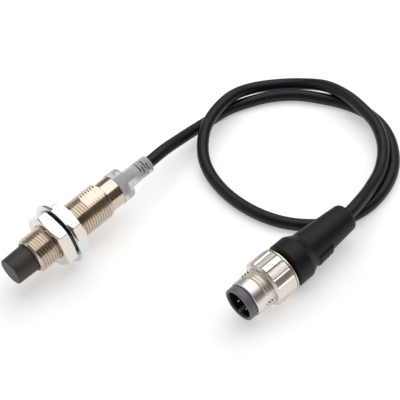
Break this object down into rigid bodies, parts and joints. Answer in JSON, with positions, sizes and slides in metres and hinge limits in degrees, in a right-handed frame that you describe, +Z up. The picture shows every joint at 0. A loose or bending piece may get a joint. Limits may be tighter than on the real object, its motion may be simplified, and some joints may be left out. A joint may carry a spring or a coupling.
{
  "type": "proximity sensor",
  "caption": "Cylindrical inductive proximity sensor with a threaded barrel, clamping nuts, a toothed washer, a clear cable gland and a short looped cable ending in a screw-lock plug.",
  "frame": {"origin": "on the resting surface, under the middle of the sensor's length and under its axis (cable and plug not counted)", "axes": "+X along the sensor's axis from its sensing face towards the cable, +Z up from the resting surface, +Y to the side away from the plug"},
  "size_m": [0.1257, 0.0808, 0.021],
  "materials": {
    "cap_plastic": "matte",
    "ferrite": "matte",
    "bobbin_plastic": "satin",
    "copper_wire": "gloss",
    "holder_plastic": "matte",
    "plated_brass": "gloss",
    "board": "gloss",
    "chip_plastic": "matte",
    "ceramic_chip": "satin",
    "led": "gloss",
    "resin": "satin",
    "plated_nut": "gloss",
    "zinc_plate": "gloss",
    "clear_plastic": "gloss",
    "seal_rubber": "matte",
    "brown_insulation": "satin",
    "blue_insulation": "satin",
    "black_insulation": "satin",
    "cable_sheath": "satin",
    "carrier_plastic": "satin",
    "gold_contact": "polished",
    "satin_nickel": "satin",
    "spring_steel": "satin",
    "core_plastic": "matte",
    "boot_rubber": "matte"
  },
  "bodies": {
    "root": {"sensing_cap": "cap_plastic", "ferrite_core": "ferrite", "coil_bobbin": "bobbin_plastic", "sensing_coil": "copper_wire", "core_holder": "holder_plastic", "barrel": "plated_brass", "circuit_board": "board", "controller_chip": "chip_plastic", "output_transistor": "chip_plastic", "capacitors": "ceramic_chip", "resistors": "chip_plastic", "indicator_leds": "led", "potting_resin": "resin", "clear_gland": "clear_plastic", "gland_seal": "seal_rubber", "brown_wire": "brown_insulation", "blue_wire": "blue_insulation", "black_wire": "black_insulation", "cable": "cable_sheath", "contact_carrier": "carrier_plastic", "contact_pin_1": "gold_contact", "contact_pin_2": "gold_contact", "contact_pin_3": "gold_contact", "contact_pin_4": "gold_contact", "front_seal": "seal_rubber", "snap_ring": "spring_steel", "plug_core": "core_plastic", "plug_wires": "brown_insulation", "boot": "boot_rubber"},
    "washer": {"toothed_washer": "zinc_plate"},
    "nut_front": {"front_nut": "plated_nut"},
    "nut_rear": {"rear_nut": "plated_nut"},
    "coupling": {"coupling_ring": "satin_nickel"}
  },
  "joints": [
    {"name": "washer_slide", "type": "slide", "parent": "root", "child": "washer", "axis": [1, 0, 0], "range_m": [-0.0065, 0.013]},
    {"name": "front_nut_turn", "type": "hinge", "parent": "washer", "child": "nut_front", "pos_m": [-0.012, 0, 0.0105], "axis": [1, 0, 0], "range_deg": [-2340, 4680]},
    {"name": "rear_nut_turn", "type": "hinge", "parent": "washer", "child": "nut_rear", "pos_m": [-0.0066, 0, 0.0105], "axis": [1, 0, 0], "range_deg": [-2340, 4680]},
    {"name": "coupling_turn", "type": "hinge", "parent": "root", "child": "coupling", "pos_m": [0.01912, -0.06254, 0.00756], "axis": [0.998, -0.061, 0.014], "continuous": true}
  ],
  "couplings": [
    {"joint": "washer_slide", "follows": "front_nut_turn", "m_per_rad": 0.00015915},
    {"joint": "rear_nut_turn", "follows": "front_nut_turn", "ratio": 1}
  ]
}
